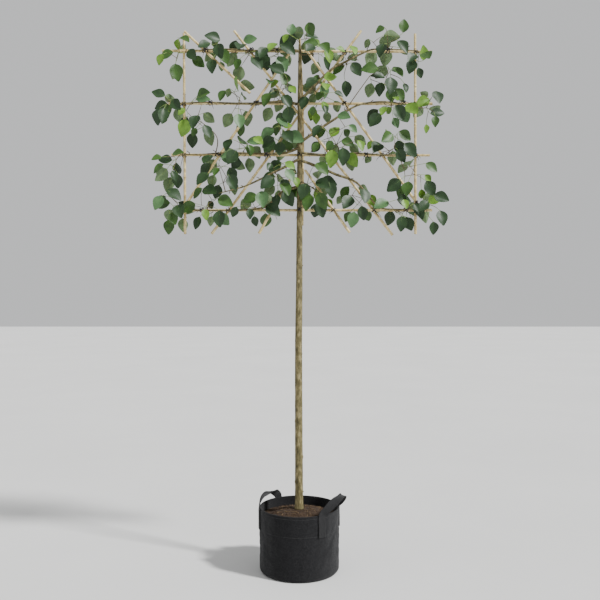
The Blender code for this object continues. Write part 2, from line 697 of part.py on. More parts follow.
def main():
    clear_scene()
    felt = principled("felt", (0.035, 0.035, 0.038), 0.9)
    compost = principled("compost", (0.10, 0.06, 0.035), 0.95)
    bark = principled("bark", (0.20, 0.17, 0.09), 0.75)
    bamboo = principled("bamboo", (0.62, 0.46, 0.25), 0.55)
    leaf = principled("leaf", (0.05, 0.13, 0.03), 0.5)

    make_bag(felt)
    make_soil(compost)
    for name, strap in STRAPS.items():
        make_strap(name, strap["feet"], strap["rise"], strap["lean"], felt)

    limbs = [make_trunk(bark)]
    for name, (depth, *points) in CANES.items():
        limbs.append(make_cane(name, depth, points, bamboo))
    for name, (thick, thin, height, *points) in BOUGHS.items():
        limbs.append(make_bough(name, thick, thin, height, points, bark))

    limb_tree = tree_of([shape_of(limb) for limb in limbs])
    grown = []
    for name, spec in MASSES.items():
        shapes = grow_mass(name, spec, limb_tree, tree_of(grown))
        grown += shapes
        fuse(name, shapes, leaf)


main()
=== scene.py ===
import random
from math import copysign, cos, exp, hypot, pi, radians, sin, sqrt, tau

import bpy
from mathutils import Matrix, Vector, noise
from mathutils.bvhtree import BVHTree


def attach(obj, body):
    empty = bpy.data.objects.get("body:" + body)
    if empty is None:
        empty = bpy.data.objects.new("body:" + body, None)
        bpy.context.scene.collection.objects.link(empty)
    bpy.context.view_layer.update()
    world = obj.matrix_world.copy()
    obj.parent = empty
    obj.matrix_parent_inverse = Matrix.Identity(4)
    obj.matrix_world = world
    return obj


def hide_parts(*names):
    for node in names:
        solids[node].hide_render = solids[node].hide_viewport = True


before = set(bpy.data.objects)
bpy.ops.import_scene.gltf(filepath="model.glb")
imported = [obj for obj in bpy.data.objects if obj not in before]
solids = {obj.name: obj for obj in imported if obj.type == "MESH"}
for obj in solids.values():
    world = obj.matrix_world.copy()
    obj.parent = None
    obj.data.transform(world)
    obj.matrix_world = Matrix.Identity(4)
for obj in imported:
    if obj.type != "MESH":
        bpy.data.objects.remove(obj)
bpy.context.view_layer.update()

print("frame loaded:", len(solids), "nodes")


# Materials. Everything is in metres, so a noise scale of 100 makes patches about 10 mm wide.

finishes = {
    # slot, roughness, gloss, scales of the patches and the grain, bump, and two or three colours
    "felt": ("felt", 0.95, 0.12, 260, 1400, 0.9,
             (0.004, 0.004, 0.0045), (0.009, 0.009, 0.010), (0.024, 0.024, 0.025)),
    "webbing": ("felt", 0.85, 0.2, 500, 900, 1.0, (0.006, 0.006, 0.0065), (0.017, 0.017, 0.018)),
    "thread": ("felt", 0.7, 0.3, 900, 2000, 0.4, (0.025, 0.025, 0.026), (0.06, 0.06, 0.06)),
    "compost": ("compost", 0.95, 0.3, 130, 700, 1.0,
                (0.010, 0.006, 0.0035), (0.032, 0.019, 0.011), (0.075, 0.047, 0.027)),
    "chip": ("compost", 0.9, 0.3, 90, 500, 0.8, (0.026, 0.014, 0.008), (0.090, 0.054, 0.029)),
    "straw": ("compost", 0.8, 0.3, 70, 500, 0.4, (0.11, 0.07, 0.035), (0.27, 0.19, 0.10)),
    "bark": ("bark", 0.72, 0.25, 90, 520, 0.8,
             (0.040, 0.034, 0.014), (0.125, 0.105, 0.045), (0.300, 0.250, 0.125)),
    "bark_knots": ("bark", 0.8, 0.3, 160, 600, 0.8, (0.035, 0.026, 0.013), (0.10, 0.075, 0.035)),
    "bark_lenticels": ("bark", 0.8, 0.3, 300, 900, 0.4, (0.30, 0.25, 0.13), (0.42, 0.36, 0.20)),
    "bamboo": ("bamboo", 0.45, 0.45, 38, 340, 0.35,
               (0.30, 0.21, 0.075), (0.58, 0.45, 0.20), (0.80, 0.67, 0.37)),
    "bamboo_joints": ("bamboo", 0.6, 0.3, 200, 600, 0.5, (0.16, 0.10, 0.045), (0.34, 0.24, 0.12)),
    "bamboo_ends": ("bamboo", 0.8, 0.3, 400, 900, 0.5, (0.20, 0.14, 0.07), (0.42, 0.32, 0.18)),
    "tie_twine": ("felt", 0.6, 0.3, 500, 1500, 0.5, (0.006, 0.006, 0.006), (0.020, 0.020, 0.020)),
    "leaf_underside": ("leaf", 0.7, 0.3, 60, 500, 0.3, (0.085, 0.140, 0.060), (0.160, 0.235, 0.110)),
    "leaf_stalks": ("leaf", 0.5, 0.3, 80, 600, 0.2, (0.110, 0.190, 0.035), (0.240, 0.320, 0.080)),
    "twig_bark": ("bark", 0.7, 0.3, 160, 700, 0.5, (0.060, 0.045, 0.020), (0.140, 0.105, 0.050)),
    "leaf_dark": ("leaf", 0.46, 0.35, 45, 420, 0.35, (0.009, 0.028, 0.007), (0.019, 0.052, 0.012)),
    "leaf_mid": ("leaf", 0.46, 0.35, 45, 420, 0.35, (0.022, 0.062, 0.009), (0.046, 0.112, 0.015)),
    "leaf_soft": ("leaf", 0.46, 0.35, 45, 420, 0.35, (0.042, 0.105, 0.034), (0.075, 0.160, 0.055)),
    "leaf_young": ("leaf", 0.46, 0.35, 45, 420, 0.35, (0.080, 0.180, 0.015), (0.150, 0.290, 0.030)),
    "floor": (None, 0.9, 0.3, 0.6, 4, 0.05, (0.60, 0.60, 0.59), (0.64, 0.64, 0.63)),
}
sheens = {"felt": 0.10, "webbing": 0.08}
stretches = {"webbing": (1, 1, 6), "bark": (1, 1, 0.35)}


def setInputs(node, values):
    for socket, value in values.items():
        node.inputs[socket].default_value = value
    return node


def addNode(tree, kind, **values):
    return setInputs(tree.nodes.new("ShaderNode" + kind), values)


def finishOf(name, roughness, gloss, patch, grain, bump, *colours):
    # soft patches of the colours under a fine raised grain
    material = bpy.data.materials.new(name)
    material.use_nodes = True
    tree = material.node_tree
    surface = {"Roughness": roughness, "Specular IOR Level": gloss, "Sheen Weight": sheens.get(name, 0)}
    shader = setInputs(tree.nodes["Principled BSDF"], surface)
    place = addNode(tree, "TexCoord")
    squeeze = addNode(tree, "Mapping", Scale=stretches.get(name, (1, 1, 1)))
    patches = addNode(tree, "TexNoise", Scale=patch, Detail=6, Roughness=0.62)
    grains = addNode(tree, "TexNoise", Scale=grain, Detail=5)
    relief = addNode(tree, "Bump", Strength=bump, Distance=0.0012)
    ramp = addNode(tree, "ValToRGB")
    stops = ramp.color_ramp.elements
    while len(stops) < len(colours):
        stops.new(0.5)
    for k, colour in enumerate(colours):
        stops[k].position = 0.3 + 0.4 * k / (len(colours) - 1)
        stops[k].color = (*colour, 1)
    for source, output, target, socket in (
        (place, "Object", squeeze, "Vector"),
        (squeeze, "Vector", patches, "Vector"),
        (squeeze, "Vector", grains, "Vector"),
        (patches, "Fac", ramp, "Fac"),
        (grains, "Fac", relief, "Height"),
        (ramp, "Color", shader, "Base Color"),
        (relief, "Normal", shader, "Normal"),
    ):
        tree.links.new(source.outputs[output], target.inputs[socket])
    return material


materials = {name: finishOf(name, *looks) for name, (_, *looks) in finishes.items()}


# Shapes are pairs of vertices and faces

def joined(shapes):
    vertices, faces = [], []
    for shapeVertices, shapeFaces in shapes:
        start = len(vertices)
        vertices += shapeVertices
        faces += [tuple(i + start for i in face) for face in shapeFaces]
    return vertices, faces


def placed(name, data, place=(0, 0, 0), back=None):
    # back is the way from what a light shines on to the light
    thing = bpy.data.objects.new(name, data)
    thing.location = place
    if back:
        thing.rotation_euler = back.to_track_quat("Z", "Y").to_euler()
    bpy.context.scene.collection.objects.link(thing)
    return thing


def meshOf(name, vertices, faces, finish):
    mesh = bpy.data.meshes.new(name)
    mesh.from_pydata(vertices, [], faces)
    mesh.materials.append(materials[finish])
    return mesh


def newPiece(name, shapes, finish, sharp=None, replaced=()):
    # one mesh of several shapes, which rides on the tree's one body
    mesh = meshOf(name, *joined(shapes), finish)
    mesh.shade_smooth()
    if sharp:
        mesh.set_sharp_from_angle(angle=radians(sharp))
    piece = placed(name, mesh)
    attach(piece, "root")
    if replaced:
        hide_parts(*replaced)


def clamped(t):
    return min(max(t, 0), 1)


def around(turn, reach, z):
    # a point at an angle from the right, towards the back
    return Vector((reach * cos(turn), reach * sin(turn), z))


def fullTurn(sides):
    return [tau * i / sides for i in range(sides)]


def randomVector(rng, *ranges):
    return Vector([rng.uniform(low, high) for low, high in ranges])


def turned(x, y, turn):
    return x * cos(turn) - y * sin(turn), x * sin(turn) + y * cos(turn)


def ringShape(first, rings, last):
    # one point, then rings of points, then one last point, all joined up
    faces = []
    sides = len(rings[0])
    end = 1 + (len(rings) - 1) * sides
    for i in range(sides):
        j = (i + 1) % sides
        faces.append((0, 1 + i, 1 + j))
        for a in range(1, end, sides):
            faces.append((a + i, a + sides + i, a + sides + j, a + j))
        faces.append((end + sides, end + j, end + i))
    return [first, *sum(rings, []), last], faces


def skinFaces(rings, sides):
    # rings of points joined up, with a flat cap at each end
    faces = [tuple(reversed(range(sides)))]
    end = (rings - 1) * sides
    for a in range(0, end, sides):
        for i in range(sides):
            j = (i + 1) % sides
            faces.append((a + i, a + j, a + sides + j, a + sides + i))
    faces.append(tuple(range(end, end + sides)))
    return faces


def smoothPath(points, steps):
    # a curve through the points, with some steps from each to the next
    ends = [points[0] * 2 - points[1]] + points + [points[-1] * 2 - points[-2]]
    path = []
    for k in range(len(points) - 1):
        p0, p1, p2, p3 = ends[k:k + 4]
        for i in range(steps):
            t = i / steps
            bend = (2 * p0 - 5 * p1 + 4 * p2 - p3) * t * t + (3 * p1 - p0 - 3 * p2 + p3) * t ** 3
            path.append(0.5 * (2 * p1 + (p2 - p0) * t + bend))
    path.append(points[-1].copy())
    return path


def alongAt(path, k):
    return (path[min(k + 1, len(path) - 1)] - path[max(k - 1, 0)]).normalized()


def tube(path, radii, sides, startDirection=None):
    vertices = []
    side = Vector((0, -1, 0))
    for k, point in enumerate(path):
        along = startDirection.normalized() if k == 0 and startDirection else alongAt(path, k)
        side = (side - along * side.dot(along)).normalized()
        across = along.cross(side)
        for turn in fullTurn(sides):
            vertices.append(point + (side * cos(turn) + across * sin(turn)) * radii[k])
    return vertices, skinFaces(len(path), sides)


def taper(path, thick, thin):
    walked = [0.0]
    for a, b in zip(path, path[1:]):
        walked.append(walked[-1] + (b - a).length)
    return [thick + (thin - thick) * w / walked[-1] for w in walked]


# Grow bag of dark felt, with a sewn hem line and two carrying straps

bag = {
    "radius": 0.178,
    "height": 0.284,
    "wall": 0.004,
    "footRound": 0.016,
    "rimRound": 0.002,
    "sides": 192,
    "innerRows": 26,
    "outerRows": 57,
    "footRows": 6,
    "swell": 0.0004,
    "wrinkle": 0.0034,
    # how often the wrinkles repeat round the bag and up it, and their share
    "folds": ((3.0, 16, 1.0), (7.0, 46, 0.55)),
    "hemHeight": 0.195,
    "hemDepth": 0.0012,
    "hemWidth": 0.0018,
    "rimStitches": 0.012,
    "stitchLength": 0.0055,
    "stitchSpacing": 0.0085,
    "threadRadius": 0.0007,
}


def roundBag(angle, radius, z):
    # a point at an angle in degrees from the bag's front, towards the right
    return around(radians(angle - 90), radius, z)


def wallBulge(turn, z):
    # how far the soft wall stands out or in at a place
    folds = sum(noise.noise(around(turn, wide, z * tall)) * share for wide, tall, share in bag["folds"])
    return folds * bag["wrinkle"] * sin(pi * clamped(z / bag["height"])) ** 0.5


def bagProfile():
    # radius and height, from the middle of the floor up inside, over the rim and down outside
    radius, height, foot, wall = bag["radius"], bag["height"], bag["footRound"], bag["wall"]
    inner, rim = radius - wall, height - bag["rimRound"]
    profile = [(0, wall), (inner - foot, wall), (inner, wall + foot)]
    rows = bag["innerRows"]
    profile += [(inner, wall + foot + (rim - wall - foot) * k / rows) for k in range(1, rows + 1)]
    profile += [(inner + bag["rimRound"] / 2, height), (radius - bag["rimRound"] / 2, height)]
    rows = bag["outerRows"]
    for z in [rim - (rim - foot) * k / rows for k in range(rows + 1)]:
        seam = exp(-((z - bag["hemHeight"]) / bag["hemWidth"]) ** 2) * bag["hemDepth"]
        profile.append((radius + bag["swell"] * sin(pi * z / height) - seam, z))
    rows = bag["footRows"]
    for turn in [pi / 2 * k / rows for k in range(1, rows + 1)]:
        profile.append((radius - foot * (1 - cos(turn)), foot * (1 - sin(turn))))
    return profile


def bagShape():
    (_, floor), *profile = bagProfile()
    soft = bag["radius"] - bag["wall"] - 0.001  # the wall starts here
    rings = []
    for r, z in profile:
        ring = [(turn, wallBulge(turn, z) if r > soft else 0) for turn in fullTurn(bag["sides"])]
        rings.append([around(turn, r + bulge, z) for turn, bulge in ring])
    return ringShape(Vector((0, 0, floor)), rings, Vector((0, 0, 0)))


def stitch(a, b, out):
    # a short raised thread between two points
    thick = bag["threadRadius"]
    path = [a, a.lerp(b, 0.25) + out * thick, a.lerp(b, 0.75) + out * thick, b]
    return tube(path, [thick * 0.6, thick, thick, thick * 0.6], 5)


def hemStitches():
    # a row along the hem line and a row under the rim
    shapes = []
    count = int(tau * bag["radius"] / bag["stitchSpacing"])
    half = bag["stitchLength"] / 2 / bag["radius"]
    rows = ((bag["hemHeight"], bag["hemDepth"] * 0.6), (bag["height"] - bag["rimStitches"], 0))
    for turn in fullTurn(count):
        for z, sunk in rows:
            reach = bag["radius"] + wallBulge(turn, z) - sunk
            ends = [around(turn + s, reach, z) for s in (-half, half)]
            shapes.append(stitch(*ends, around(turn, 1, 0)))
    return shapes


straps = {
    "width": 0.036,
    "thickness": 0.0035,
    "gap": 0.0011,
    "sewn": 0.095,
    "steps": 8,
    "narrowing": 0.12,
    "twistOut": 1.2,
    "twistAlong": 0.9,
    "columns": 9,
    "ripple": 0.0004,
    "stitchesIn": 0.8,
    "loops": {
        # feet in degrees from the bag's front, rise over the rim, lean outwards
        "strap_right": {"feet": (33, 100), "rise": 0.064, "lean": 0.048},
        "strap_left": {"feet": (213, 280), "rise": 0.044, "lean": 0.006},
    },
}


def strapRoute(feet, rise, lean):
    # points along a strap, and the way its outer side faces at each
    out = bag["radius"] + straps["gap"] + straps["thickness"] / 2
    low = bag["height"] - straps["sewn"]
    heights = (low, (low + bag["height"]) / 2, bag["height"])
    legs = [[(roundBag(angle, out, z), roundBag(angle, 1, 0)) for z in heights] for angle in feet]
    half = legs[1][-1][0] - legs[0][-1][0]
    centre = (legs[0][-1][0] + legs[1][-1][0]) / 2
    outward = roundBag(sum(feet) / 2, 1, 0)
    arch = []
    for i in range(1, straps["steps"]):
        turn = pi * i / straps["steps"]
        lift = sin(turn)
        point = centre - half / 2 * cos(turn) * (1 - straps["narrowing"] * lift)
        point += Vector((0, 0, rise * lift)) + outward * lean * lift
        flat = outward * (1 - lift ** 2) * straps["twistOut"] + Vector((0, 0, 1)) * lift ** 2
        flat -= half.normalized() * cos(turn) * straps["twistAlong"]
        arch.append((point, flat.normalized()))
    return legs[0] + arch + legs[1][::-1]


def strapShape(route):
    # a band with rounded edges along a smooth curve, and that curve's frames
    places = smoothPath([point for point, _ in route], 6)
    flats = smoothPath([flat for _, flat in route], 6)
    wide, thick = straps["width"] / 2, straps["thickness"] / 2
    last = straps["columns"] - 1
    columns = [wide * 0.97 * (1 - 2 * k / last) for k in range(last + 1)]
    section = [(s, thick) for s in columns] + [(-wide, thick * 0.4), (-wide, -thick * 0.4)]
    section += [(-s, -thick) for s in columns] + [(wide, -thick * 0.4), (wide, thick * 0.4)]
    vertices, frames = [], []
    for k, point in enumerate(places):
        along = alongAt(places, k)
        flat = (flats[k] - along * flats[k].dot(along)).normalized()
        across = along.cross(flat)
        frames.append((point, across, flat))
        for s, t in section:
            ripple = noise.noise(Vector((k * 0.5, s * 90, t * 40))) * straps["ripple"]
            vertices.append(point + across * s + flat * (t + ripple))
    return (vertices, [face[::-1] for face in skinFaces(len(places), len(section))]), frames


def strapStitches(frames):
    # two rows of thread down each sewn leg
    shapes = []
    lift = straps["thickness"] / 2
    sewn = [f for f in frames if f[0].z < bag["height"] - 0.004]
    for side in (-straps["stitchesIn"], straps["stitchesIn"]):
        for (p, across, flat), (q, _, _) in zip(sewn, sewn[1:]):
            if (q - p).length > straps["width"]:
                continue
            aside = across * side * straps["width"] / 2 + flat * lift
            count = max(1, round((q - p).length / bag["stitchSpacing"]))
            for i in range(count):
                ends = [p.lerp(q, (i + share) / count) + aside for share in (0.15, 0.85)]
                shapes.append(stitch(*ends, flat))
    return shapes


newPiece("bag_felt", [bagShape()], "felt", 50, ["bag"])
stitches = hemStitches()
for name, loop in straps["loops"].items():
    shape, frames = strapShape(strapRoute(**loop))
    newPiece(name + "_webbing", [shape], "webbing", 50, [name])
    stitches += strapStitches(frames)
newPiece("bag_stitches", stitches, "thread")
print("bag and straps made")


# Compost, heaped a little round the stem, with fibres, bark chips and straw on it

soil = {
    "top": 0.272,
    "edge": 0.243,
    "bottom": 0.19,
    "flatRadius": 0.036,
    "radius": 0.1734,
    "lumps": 0.0040,
    "lumpScale": 45,
    "crumbScale": 120,
    "crumbShare": 0.6,
    "rings": 56,
    "sides": 150,
    "chips": 620,
    "chipSize": (0.0015, 0.0055),
    # how many fibres, their length and their radius
    "straws": (55, (0.008, 0.026), 0.0007),
    "roots": (34, (0.02, 0.06), 0.0006),
    "seed": 5,
}


def soilHeight(x, y):
    away = hypot(x, y)
    t = clamped((away - soil["flatRadius"]) / (soil["radius"] - soil["flatRadius"]))
    smooth = soil["top"] + (soil["edge"] - soil["top"]) * (1 - cos(pi * t)) / 2
    lumps = noise.noise(Vector((x, y, 0)) * soil["lumpScale"])
    lumps += soil["crumbShare"] * noise.noise(Vector((x, y, 1)) * soil["crumbScale"])
    return smooth + (lumps - 0.3) * soil["lumps"] * min(1, away / 0.05)


def soilShape():
    turns = fullTurn(soil["sides"])
    rings = []
    for k in range(1, soil["rings"] + 1):
        rings.append([around(turn, soil["radius"] * k / soil["rings"], 0) for turn in turns])
        for place in rings[-1]:
            place.z = soilHeight(place.x, place.y)
    rings.append([around(turn, soil["radius"], soil["bottom"]) for turn in turns])
    return ringShape(Vector((0, 0, soilHeight(0, 0))), rings, Vector((0, 0, soil["bottom"])))


def soilSpot(rng):
    # a place on the compost, clear of the stem and the bag
    turn = rng.uniform(0, tau)
    reach = sqrt(rng.uniform(0.026 ** 2, (soil["radius"] - 0.014) ** 2))
    x, y = turned(reach, 0, turn)
    return Vector((x, y, soilHeight(x, y)))


def chipShape(rng, size):
    # an uneven lump of six corners and eight faces
    place = soilSpot(rng) + Vector((0, 0, size * 0.15))
    turn = rng.uniform(0, tau)
    vertices = []
    for corner in ((1, 0, 0), (-1, 0, 0), (0, 0.6, 0), (0, -0.6, 0), (0, 0, 0.4), (0, 0, -0.4)):
        corner = Vector(corner) * size * rng.uniform(0.7, 1.2)
        vertices.append(place + Vector((*turned(corner.x, corner.y, turn), corner.z)))
    return vertices, [(0, 2, 4), (2, 1, 4), (1, 3, 4), (3, 0, 4), (2, 0, 5), (1, 2, 5), (3, 1, 5), (0, 3, 5)]


def fibreShape(rng, length, thick):
    # a thin bent fibre that lies on the compost
    place = soilSpot(rng)
    turn = rng.uniform(0, tau)
    most = soil["radius"] - 0.008
    path = []
    for t in (-0.5, -0.25, 0, 0.25, 0.5):
        x, y = turned(t * length, rng.uniform(-0.05, 0.05) * length, turn)
        x, y = x + place.x, y + place.y
        reach = hypot(x, y)
        if reach > most:
            x, y = x * most / reach, y * most / reach
        path.append(Vector((x, y, soilHeight(x, y) + thick + rng.uniform(0, 0.003))))
    return tube(path, [thick] * len(path), 5)


rng = random.Random(soil["seed"])
newPiece("soil_surface", [soilShape()], "compost", 60, ["soil"])
chips = [chipShape(rng, rng.uniform(*soil["chipSize"])) for _ in range(soil["chips"])]
newPiece("soil_chips", chips, "chip")
for kind, finish in (("straws", "straw"), ("roots", "chip")):
    count, lengths, thick = soil[kind]
    fibres = [fibreShape(rng, rng.uniform(*lengths), thick) for _ in range(count)]
    newPiece("soil_" + kind, fibres, finish)
print("compost made")


# Stem and boughs. A station is a height, radius, and how far the centre is to the right and the back.

trunk = {
    "stations": (
        (0.2723, 0.0225, -0.0010, 0.0),
        (0.285, 0.0200, -0.0010, 0.0),
        (0.310, 0.0184, -0.0012, 0.0),
        (0.650, 0.0172, -0.0026, 0.0),
        (1.010, 0.0162, -0.0036, 0.0),
        (1.255, 0.0150, -0.0005, -0.0010),
        (1.435, 0.0141, 0.0000, -0.0017),
        (1.616, 0.0131, 0.0012, -0.0008),
        (1.866, 0.0119, 0.0020, 0.0004),
        (2.099, 0.0105, 0.0022, 0.0018),
        (2.260, 0.0085, 0.0030, 0.0038),
        (2.337, 0.0070, 0.0025, 0.0053),
        (2.360, 0.0058, 0.0020, 0.0058),
    ),
    "sides": 40,
    "rowSpacing": 0.0035,
    "relief": 0.0007,
    # height, and degrees from the front
    "knots": (
        (0.391, 250), (0.594, 200), (0.670, 300), (1.080, 215),
        (1.290, 330), (0.850, 20), (1.480, 160), (0.505, 95),
    ),
    "knotReach": 0.011,
    "knotHeight": 0.0028,
    "buds": 26,
    "pores": 420,
    "bareEnds": 0.03,
    "seed": 3,
}
# how often the bark's ridges repeat round a limb and along it, and their share
ridges = ((3.4, 60, 0.5), (1.2, 17, 0.8))
boughs = {
    "sides": 14,
    "steps": 5,
    "forward": radians(42),
    "front": -0.0006,
    "gap": 0.0003,
    "relief": 0.0005,
    "spurSpacing": 0.055,
    "spurSize": (0.006, 0.016),
    "lines": {
        # radius at the stem and at the tip, height on the stem, then (x, z) along it
        "left_top": (0.0062, 0.0022, 2.33, (-0.07, 2.335), (-0.2, 2.33), (-0.34, 2.338), (-0.485, 2.331)),
        "left_upper": (0.007, 0.0022, 2.089, (-0.083, 2.1), (-0.2, 2.093), (-0.304, 2.094),
                       (-0.43, 2.099), (-0.548, 2.094)),
        "left_middle": (0.0062, 0.0021, 1.888, (-0.074, 1.869), (-0.218, 1.868), (-0.31, 1.873),
                        (-0.42, 1.866), (-0.525, 1.864)),
        "left_slant": (0.0066, 0.002, 1.836, (-0.058, 1.811), (-0.124, 1.779), (-0.241, 1.723),
                       (-0.362, 1.69)),
        "left_bottom": (0.0066, 0.0022, 1.716, (-0.079, 1.694), (-0.125, 1.65), (-0.175, 1.622),
                        (-0.33, 1.613), (-0.532, 1.617)),
        "right_top": (0.0068, 0.0022, 2.118, (0.075, 2.178), (0.145, 2.247), (0.205, 2.279),
                      (0.29, 2.322), (0.353, 2.338), (0.522, 2.331)),
        "right_upper": (0.0068, 0.0022, 1.925, (0.092, 1.979), (0.164, 2.026), (0.255, 2.082),
                        (0.35, 2.1), (0.43, 2.097), (0.545, 2.075)),
        "right_middle": (0.0062, 0.0021, 1.869, (0.105, 1.862), (0.25, 1.869), (0.38, 1.862),
                         (0.5, 1.864)),
        "right_slant": (0.0072, 0.0022, 1.832, (0.1, 1.802), (0.169, 1.772), (0.259, 1.736),
                        (0.329, 1.655), (0.385, 1.62), (0.545, 1.618)),
    },
}


def trunkAt(z):
    # the stem's centre and radius at a height
    for low, high in zip(trunk["stations"], trunk["stations"][1:]):
        if z <= high[0]:
            break
    t = clamped((z - low[0]) / (high[0] - low[0]))
    radius, x, y = (a + (b - a) * t for a, b in zip(low[1:], high[1:]))
    return Vector((x, y, z)), radius


def boughPath(thick, thin, height, *points):
    # from just off the stem, forward and round into the line of the head
    hub, hubRadius = trunkAt(height)
    sign = copysign(1, points[0][0])
    away = Vector((sign * cos(boughs["forward"]), -sin(boughs["forward"]), 0))
    start = hub + away * (hubRadius + boughs["gap"])
    route = [start, start + away * thick * 1.1]
    for k, (x, z) in enumerate(points):
        t = (k + 1) / len(points)
        route.append(Vector((x, boughs["front"] - (thick + (thin - thick) * t), z)))
    return smoothPath(route, 2)


def barkTube(path, radii, sides, relief, knots=()):
    # a limb with fine ridges along it and swollen knots
    vertices, faces = tube(path, radii, sides)
    moved = []
    for n, v in enumerate(vertices):
        k = n // sides
        out = (v - path[k]).normalized()
        along = alongAt(path, k)
        at = along * v.dot(along)
        push = sum(noise.noise(out * wide + at * tall) * share for wide, tall, share in ridges) * relief
        for height, degrees in knots:
            spot = roundBag(degrees, radii[k], 0)
            near = (v - Vector((path[k].x, path[k].y, height)) - spot).length / trunk["knotReach"]
            if near < 1:
                push += trunk["knotHeight"] * (1 - near ** 2) ** 2
        moved.append(v + out * push)
    return moved, faces


def trunkShape():
    low, high = trunk["stations"][0][0], trunk["stations"][-1][0]
    heights = [low]
    while heights[-1] < high - trunk["rowSpacing"]:
        heights.append(heights[-1] + trunk["rowSpacing"])
    centres, radii = zip(*[trunkAt(z) for z in heights + [high]])
    return barkTube(list(centres), radii, trunk["sides"], trunk["relief"], trunk["knots"])


def budShape(place, along, out, size):
    # a pointed bud that lies close along its limb
    places = ((-0.3, 0), (0.3, 0.5), (0.35, 1.6))
    path = [place + out * size * lift + along * size * reach for lift, reach in places]
    return tube(path, [size * 0.55, size * 0.5, size * 0.08], 6)


def trunkMarks(rng):
    # pale breathing pores across the bark, and dark bud scars
    low, high = trunk["stations"][0][0] + trunk["bareEnds"], trunk["stations"][-1][0] - trunk["bareEnds"]
    pores, scars = [], []
    for _ in range(trunk["pores"]):
        centre, radius = trunkAt(rng.uniform(low, high))
        turn = rng.uniform(0, tau)
        wide = rng.uniform(0.03, 0.10)
        path = [centre + around(turn + s, 1, 0) * (radius + 0.0001) for s in (-wide, 0, wide)]
        pores.append(tube(path, [0.0002, rng.uniform(0.0004, 0.0007), 0.0002], 5))
    for k in range(trunk["buds"]):
        centre, radius = trunkAt(low + (high - low) * (k + rng.uniform(0.2, 0.8)) / trunk["buds"])
        out = around(2.4 * k + rng.uniform(-0.3, 0.3), 1, 0)
        scars.append(budShape(centre + out * radius, Vector((0, 0, 1)), out, rng.uniform(0.0025, 0.0042)))
    return pores, scars


def spursOf(rng, path, widths):
    # short spurs and buds along a bough, the start of its finer wood
    shapes = []
    walked = 0
    for a, b, radius in zip(path, path[1:], widths):
        walked += (b - a).length
        if walked < boughs["spurSpacing"]:
            continue
        walked = rng.uniform(-0.02, 0.01)
        along = (b - a).normalized()
        out = randomVector(rng, (-0.4, 0.4), (-1, 0.1), (-1, 1))
        out = (out - along * out.dot(along)).normalized()
        size = rng.uniform(*boughs["spurSize"])
        tip = a + out * (radius + size) + along * size * 0.6
        shapes.append(tube([a, a + out * (radius + size * 0.5), tip], [0.0022, 0.0018, 0.0016], 6))
        shapes.append(budShape(tip, (out + along).normalized(), out, 0.0024))
    return shapes


rng = random.Random(trunk["seed"])
newPiece("trunk_bark", [trunkShape()], "bark", replaced=["trunk"])
pores, scars = trunkMarks(rng)
newPiece("trunk_pores", pores, "bark_lenticels")
newPiece("trunk_buds", scars, "bark_knots")
spurs = []
for name, line in boughs["lines"].items():
    path = smoothPath(boughPath(*line), boughs["steps"])
    widths = taper(path, *line[:2])
    shape = barkTube(path, widths, boughs["sides"], boughs["relief"])
    newPiece("bough_" + name + "_bark", [shape], "bark", replaced=["bough_" + name])
    spurs += spursOf(rng, path, widths)
newPiece("bough_spurs", spurs, "bark_knots")
print("stem and boughs made")


# Bamboo canes that the tree carries. A layer is a depth of centre lines behind the stem's.

layers = {"front": 0.0068, "rails": 0.0202, "posts": 0.0339, "cross": 0.0474, "back": 0.0611}
canes = {
    "sides": 20,
    "butt": 0.0067,
    "tip": 0.0059,
    "skin": 0.0004,
    "jointSpacing": 0.185,
    "jointSwell": 0.0007,
    "jointReach": 0.0035,
    "rowSpacing": 0.03,
    "hollow": 0.42,
    "lines": {
        # layer, then the (x, z) of a cane's butt, any bend, and its tip
        "rail_1": ("rails", (-0.621, 2.3380), (0.600, 2.3340)),
        "rail_2": ("rails", (0.602, 2.0985), (-0.592, 2.0990)),
        "rail_3": ("rails", (-0.579, 1.8670), (0.590, 1.8650)),
        "rail_4": ("rails", (0.600, 1.6165), (-0.575, 1.6160)),
        "post_left": ("posts", (-0.519, 1.5100), (-0.525, 2.4230)),
        "post_right": ("posts", (0.528, 1.5100), (0.526, 2.4200)),
        "post_middle": ("back", (0.013, 1.5520), (0.016, 2.0200), (0.001, 2.4200)),
        "long_falling": ("posts", (0.424, 1.5050), (-0.297, 2.4340)),
        "long_rising": ("cross", (-0.400, 1.5120), (0.282, 2.4390)),
        "wing_left": ("front", (-0.528, 1.6170), (-0.030, 2.3435)),
        "wing_right": ("front", (0.542, 1.6310), (0.032, 2.3360)),
        "short_left": ("front", (-0.182, 1.5100), (-0.022, 1.7900)),
        "short_right": ("front", (0.227, 1.5140), (0.026, 1.7960)),
        "corner_left": ("front", (-0.222, 2.1430), (-0.518, 2.4210)),
    },
}


def pointAlong(line, walked):
    for a, b in zip(line, line[1:]):
        step = (b - a).length
        if walked <= step + 1e-6:
            return a.lerp(b, walked / step)
        walked -= step


